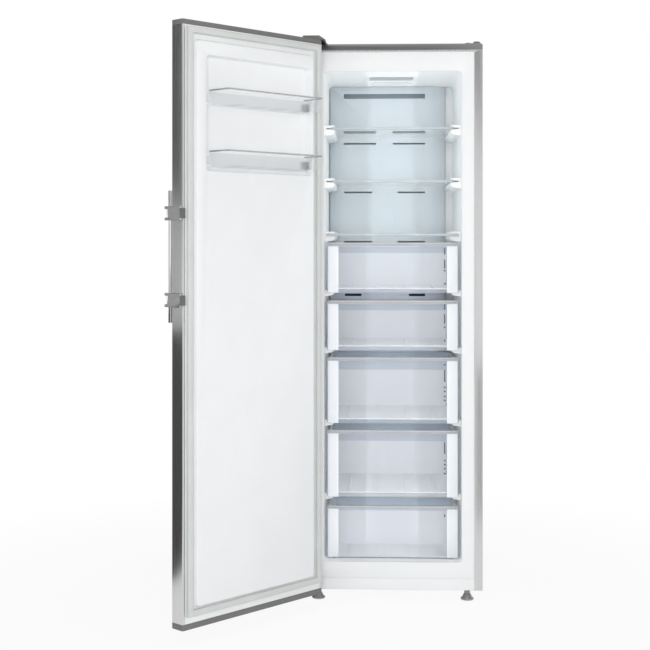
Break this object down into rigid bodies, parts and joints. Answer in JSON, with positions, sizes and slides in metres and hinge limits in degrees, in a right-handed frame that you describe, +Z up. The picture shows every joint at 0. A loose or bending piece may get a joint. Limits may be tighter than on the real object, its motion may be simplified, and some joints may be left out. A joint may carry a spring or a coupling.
{
  "type": "upright freezer",
  "caption": "Upright no-frost freezer with an open steel door, glass shelves, clear drawers and a bar handle.",
  "frame": {"origin": "middle of the underside of the whole part with its door open, on the floor", "axes": "+Z up, -Y out of the cabinet front, +X to the right as seen from the front"},
  "size_m": [0.985, 1.1052, 1.869],
  "materials": {
    "steel": "brushed, fine vertical grain",
    "zinc": "dull galvanised",
    "liner_white": "smooth moulded",
    "foam": "foamed",
    "duct_grey": "fine satin",
    "lamp_dark": "satin",
    "coil": "bare",
    "fan_white": "moulded",
    "dark_plastic": "moulded",
    "glass": "clear, polished",
    "trim": "smooth",
    "tub": "translucent moulded",
    "clear": "clear moulded",
    "black_steel": "semi-gloss black",
    "copper_pipe": "bare copper",
    "cap_grey": "fine satin",
    "gasket": "soft",
    "rail": "polished",
    "handle_metal": "satin",
    "pusher": "satin"
  },
  "bodies": {
    "cabinet": {"outer_shell": "steel", "back_panel": "zinc", "base_plate": "zinc", "machine_room_cover": "zinc", "upper_hinge_bracket": "zinc", "lower_hinge_bracket": "zinc", "inner_liner": "liner_white", "front_crossbar": "liner_white", "cabinet_foam": "foam", "duct_cover": "duct_grey", "ceiling_lamp_cover": "lamp_dark", "evaporator": "coil", "defrost_heater": "coil", "evaporator_fan_motor": "dark_plastic", "cord_gland": "dark_plastic", "condenser_fan_frame": "dark_plastic", "drip_tray": "dark_plastic", "compressor": "black_steel", "condenser": "black_steel", "discharge_pipe": "copper_pipe", "suction_pipe": "copper_pipe", "hinge_hole_cover": "cap_grey", "upper_hinge_cover": "cap_grey"},
    "door": {"door_outer_panel": "steel", "door_top_cap": "cap_grey", "door_bottom_cap": "cap_grey", "door_foam": "foam", "door_liner": "liner_white", "door_gasket": "gasket", "handle_bracket_upper": "handle_metal", "handle_bracket_lower": "handle_metal"},
    "handle": {"handle_bar": "handle_metal"},
    "pusher_upper": {"handle_pusher_upper": "pusher"},
    "pusher_lower": {"handle_pusher_lower": "pusher"},
    "basket_upper": {"basket_upper": "clear", "basket_rail_upper": "rail"},
    "basket_lower": {"basket_lower": "clear", "basket_rail_lower": "rail"},
    "foot_left": {"foot_left": "dark_plastic"},
    "foot_right": {"foot_right": "dark_plastic"},
    "roller_left": {"roller_left": "dark_plastic"},
    "roller_right": {"roller_right": "dark_plastic"},
    "evaporator_fan": {"evaporator_fan_blades": "fan_white"},
    "condenser_fan": {"condenser_fan_blades": "dark_plastic"},
    "drawer_1": {"drawer_tub_1": "tub", "drawer_front_1": "clear"},
    "drawer_2": {"drawer_tub_2": "tub", "drawer_front_2": "clear"},
    "drawer_3": {"drawer_tub_3": "tub", "drawer_front_3": "clear"},
    "drawer_4": {"drawer_tub_4": "tub", "drawer_front_4": "clear"},
    "drawer_5": {"drawer_tub_5": "tub", "drawer_front_5": "clear"},
    "shelf_1": {"shelf_glass_1": "glass", "shelf_trim_1": "trim"},
    "shelf_2": {"shelf_glass_2": "glass", "shelf_trim_2": "trim"},
    "shelf_3": {"shelf_glass_3": "glass", "shelf_trim_3": "trim"}
  },
  "joints": [
    {"name": "door_hinge", "type": "hinge", "parent": "cabinet", "child": "door", "pos_m": [-0.08152, -0.08533, 0.947], "axis": [0, 0, -1], "range_deg": [-131.5, 4]},
    {"name": "handle_pull", "type": "hinge", "parent": "door", "child": "handle", "pos_m": [-0.48181, -0.50292, 1.148], "axis": [0, 0, 1], "range_deg": [0, 12], "stiffness_Nm_per_rad": 6},
    {"name": "pusher_upper_slide", "type": "slide", "parent": "door", "child": "pusher_upper", "axis": [0.749, -0.6626, 0], "range_m": [0, 0.009]},
    {"name": "pusher_lower_slide", "type": "slide", "parent": "door", "child": "pusher_lower", "axis": [0.749, -0.6626, 0], "range_m": [0, 0.009]},
    {"name": "drawer_1_slide", "type": "slide", "parent": "cabinet", "child": "drawer_1", "axis": [0, -1, 0], "range_m": [0, 0.33]},
    {"name": "drawer_2_slide", "type": "slide", "parent": "cabinet", "child": "drawer_2", "axis": [0, -1, 0], "range_m": [0, 0.33]},
    {"name": "drawer_3_slide", "type": "slide", "parent": "cabinet", "child": "drawer_3", "axis": [0, -1, 0], "range_m": [0, 0.33]},
    {"name": "drawer_4_slide", "type": "slide", "parent": "cabinet", "child": "drawer_4", "axis": [0, -1, 0], "range_m": [0, 0.33]},
    {"name": "drawer_5_slide", "type": "slide", "parent": "cabinet", "child": "drawer_5", "axis": [0, -1, 0], "range_m": [0, 0.17]},
    {"name": "shelf_1_slide", "type": "slide", "parent": "cabinet", "child": "shelf_1", "axis": [0, -1, 0], "range_m": [0, 0.15]},
    {"name": "shelf_2_slide", "type": "slide", "parent": "cabinet", "child": "shelf_2", "axis": [0, -1, 0], "range_m": [0, 0.15]},
    {"name": "shelf_3_slide", "type": "slide", "parent": "cabinet", "child": "shelf_3", "axis": [0, -1, 0], "range_m": [0, 0.15]},
    {"name": "basket_upper_lift", "type": "slide", "parent": "door", "child": "basket_upper", "axis": [0, 0, 1], "range_m": [0, 0.025]},
    {"name": "basket_lower_lift", "type": "slide", "parent": "door", "child": "basket_lower", "axis": [0, 0, 1], "range_m": [0, 0.025]},
    {"name": "foot_left_screw", "type": "hinge", "parent": "cabinet", "child": "foot_left", "pos_m": [-0.05302, -0.00183, 0.02], "axis": [0, 0, 1], "range_deg": [-1800, 1800]},
    {"name": "foot_right_screw", "type": "hinge", "parent": "cabinet", "child": "foot_right", "pos_m": [0.44298, -0.00183, 0.02], "axis": [0, 0, 1], "range_deg": [-1800, 1800]},
    {"name": "roller_left_spin", "type": "hinge", "parent": "cabinet", "child": "roller_left", "pos_m": [-0.03702, 0.51317, 0.017], "axis": [1, 0, 0], "continuous": true},
    {"name": "roller_right_spin", "type": "hinge", "parent": "cabinet", "child": "roller_right", "pos_m": [0.42698, 0.51317, 0.017], "axis": [1, 0, 0], "continuous": true},
    {"name": "evaporator_fan_spin", "type": "hinge", "parent": "cabinet", "child": "evaporator_fan", "pos_m": [0.17098, 0.43397, 1.085], "axis": [0, 1, 0], "continuous": true},
    {"name": "condenser_fan_spin", "type": "hinge", "parent": "cabinet", "child": "condenser_fan", "pos_m": [0.09298, 0.42117, 0.1128], "axis": [1, 0, 0], "continuous": true}
  ],
  "couplings": [
    {"joint": "pusher_upper_slide", "follows": "handle_pull", "m_per_rad": 0.038197},
    {"joint": "pusher_lower_slide", "follows": "handle_pull", "m_per_rad": 0.038197}
  ]
}
